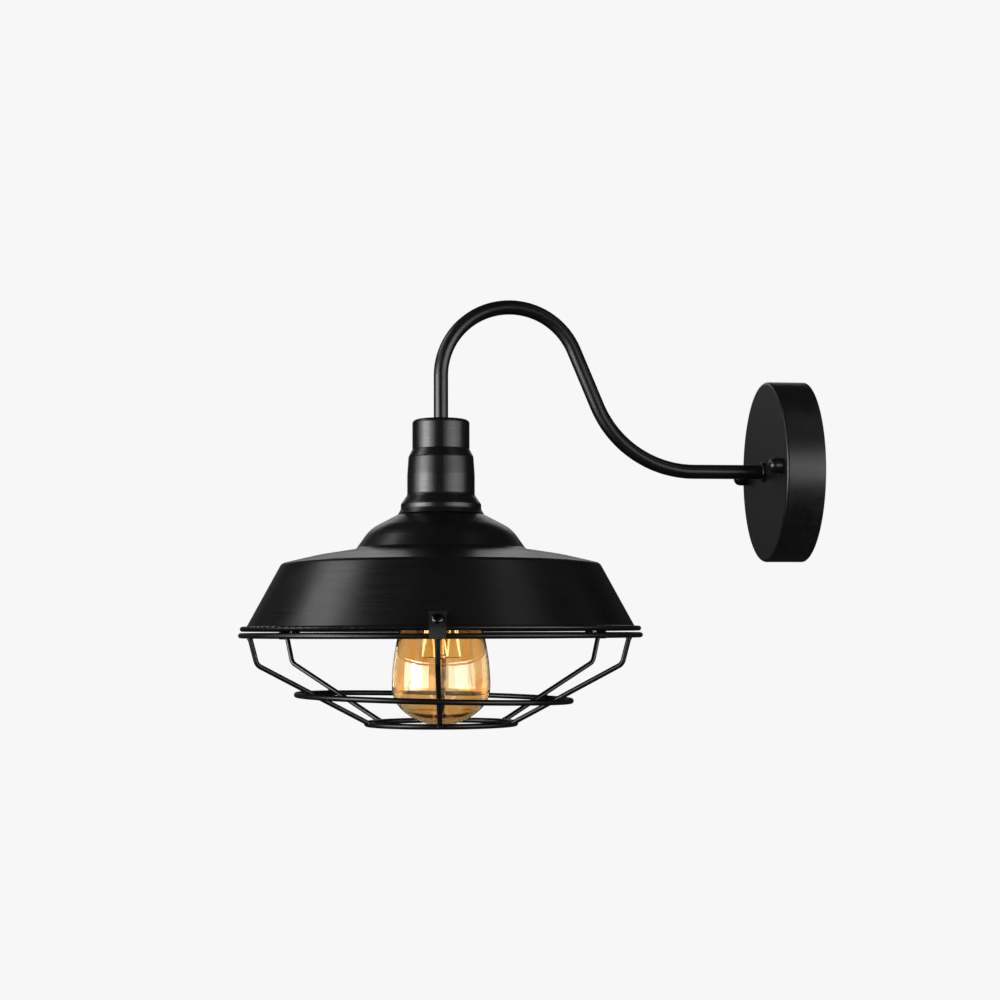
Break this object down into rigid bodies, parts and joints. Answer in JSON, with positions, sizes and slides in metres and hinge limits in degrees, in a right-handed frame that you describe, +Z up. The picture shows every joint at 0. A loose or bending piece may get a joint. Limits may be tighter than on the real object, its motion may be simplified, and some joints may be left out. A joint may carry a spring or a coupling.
{
  "type": "cage wall light",
  "caption": "Barn wall light: round wall canopy, bent gooseneck arm, stepped cup, flared shade, wire guard and a screw-in amber bulb.",
  "frame": {"origin": "centre of the round canopy's back, on the wall plane", "axes": "+Y into the wall, -Y out to the lamp, +Z up, +X along the wall"},
  "size_m": [0.2631, 0.3725, 0.28],
  "materials": {
    "black_paint": "satin powder coat",
    "black_screw": "black oxide",
    "zinc_steel": "zinc plated",
    "brass": "plain",
    "black_plastic": "moulded",
    "pale_plastic": "moulded",
    "lead_black": "insulation",
    "lead_white": "insulation",
    "lead_green": "insulation",
    "amber_glass": "clear amber",
    "clear_glass": "clear",
    "bulb_cap_metal": "satin",
    "filament_metal": "wire"
  },
  "bodies": {
    "fixture": {"canopy": "black_paint", "wall_strap": "zinc_steel", "canopy_screws": "zinc_steel", "canopy_cap_nuts": "black_paint", "arm_collar": "black_paint", "arm_washer": "zinc_steel", "arm_nut": "zinc_steel", "gooseneck_arm": "black_paint", "neck_cup": "black_paint", "cup_nut": "zinc_steel", "holder_lock_nut": "zinc_steel", "lampholder_cap": "black_plastic", "lampholder_body": "black_plastic", "lampholder_shell": "brass", "lampholder_tongue": "brass", "holder_terminals": "brass", "holder_terminal_screws": "brass", "shade_ring": "black_plastic", "barn_shade": "black_paint", "guard_top_ring": "black_paint", "guard_middle_ring": "black_paint", "guard_bottom_ring": "black_paint", "guard_rib_1": "black_paint", "guard_rib_2": "black_paint", "guard_rib_3": "black_paint", "guard_rib_4": "black_paint", "guard_rib_5": "black_paint", "guard_rib_6": "black_paint", "guard_tab_1": "black_paint", "guard_tab_2": "black_paint", "guard_tab_3": "black_paint", "guard_screws": "black_screw", "guard_nuts": "zinc_steel", "terminal_block": "pale_plastic", "block_clamps": "brass", "block_screws": "zinc_steel", "block_fixing_screw": "zinc_steel", "live_lead": "lead_black", "neutral_lead": "lead_white", "earth_lead": "lead_green", "earth_lug": "brass", "earth_screw": "zinc_steel"},
    "bulb_foot": {"bulb_foot_contact": "bulb_cap_metal"},
    "bulb": {"bulb_glass": "amber_glass", "bulb_cap": "bulb_cap_metal", "bulb_insulator": "black_plastic", "bulb_stem": "clear_glass", "filament_supports": "filament_metal", "filament": "filament_metal"}
  },
  "joints": [
    {"name": "bulb_travel", "type": "slide", "parent": "fixture", "child": "bulb_foot", "axis": [0, 0, -1], "range_m": [0, 0.0218]},
    {"name": "bulb_turn", "type": "hinge", "parent": "bulb_foot", "child": "bulb", "pos_m": [0, -0.2415, 0], "axis": [0, 0, -1], "range_deg": [0, 2160]}
  ],
  "couplings": [
    {"joint": "bulb_travel", "follows": "bulb_turn", "m_per_rad": 0.00057757}
  ]
}
